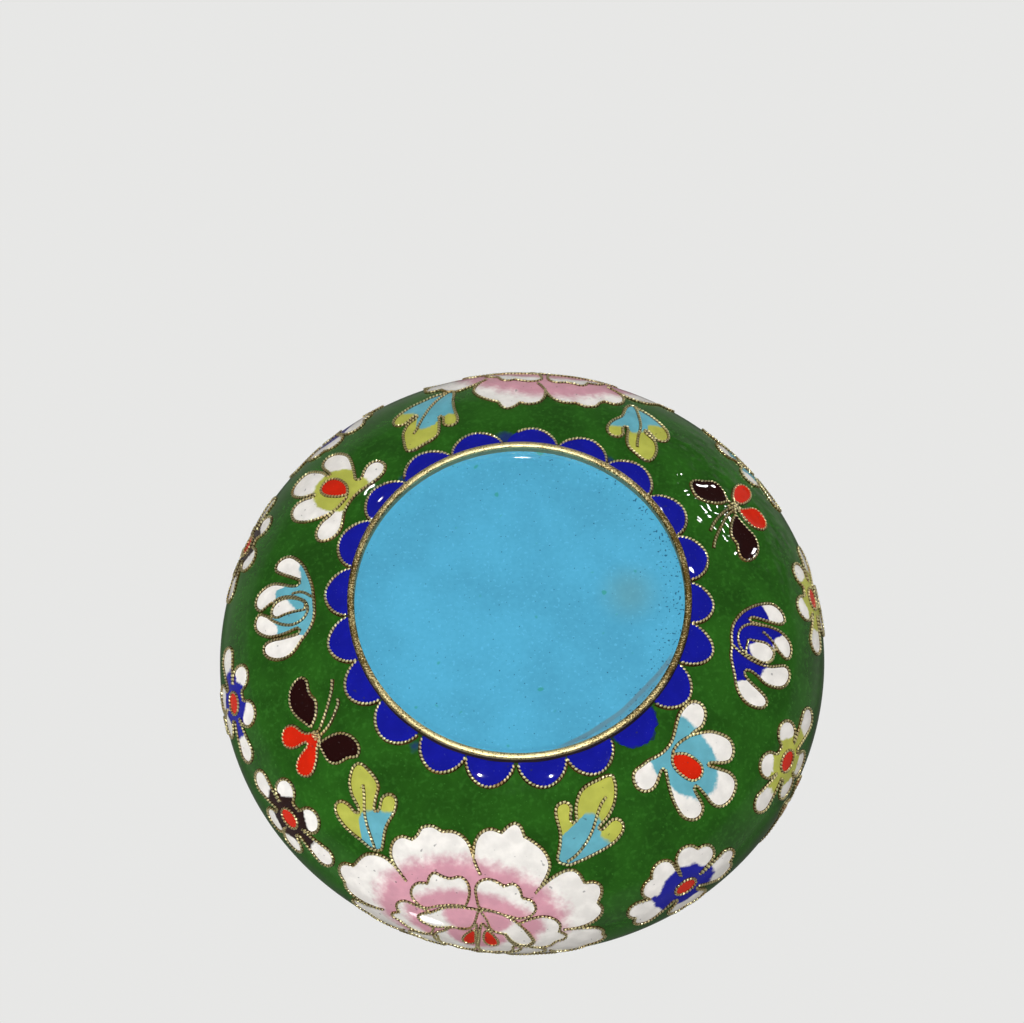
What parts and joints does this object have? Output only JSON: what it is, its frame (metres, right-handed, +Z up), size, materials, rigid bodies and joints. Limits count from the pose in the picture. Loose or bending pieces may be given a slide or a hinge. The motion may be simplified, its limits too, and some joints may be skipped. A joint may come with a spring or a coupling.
{
  "type": "cloisonne jar",
  "caption": "Squat round cloisonne jar with an open mouth, gilt rim and foot ring, and flowers in enamel on a green ground.",
  "frame": {"origin": "middle of the foot ring's underside, where the jar stands on the table", "axes": "+Z up along the jar's axis, from the foot ring to the mouth; -Y towards the side that lies lowest in the picture"},
  "size_m": [0.1, 0.1, 0.051],
  "materials": {
    "enamel": "glossy fired enamel, deep green with turquoise, cobalt, white, pink, lime, red and maroon cells",
    "gilt": "gilded copper, rubbed along the edges"
  },
  "bodies": {
    "root": {"body": "enamel", "foot_ring": "gilt", "mouth_rim": "gilt"}
  },
  "joints": []
}
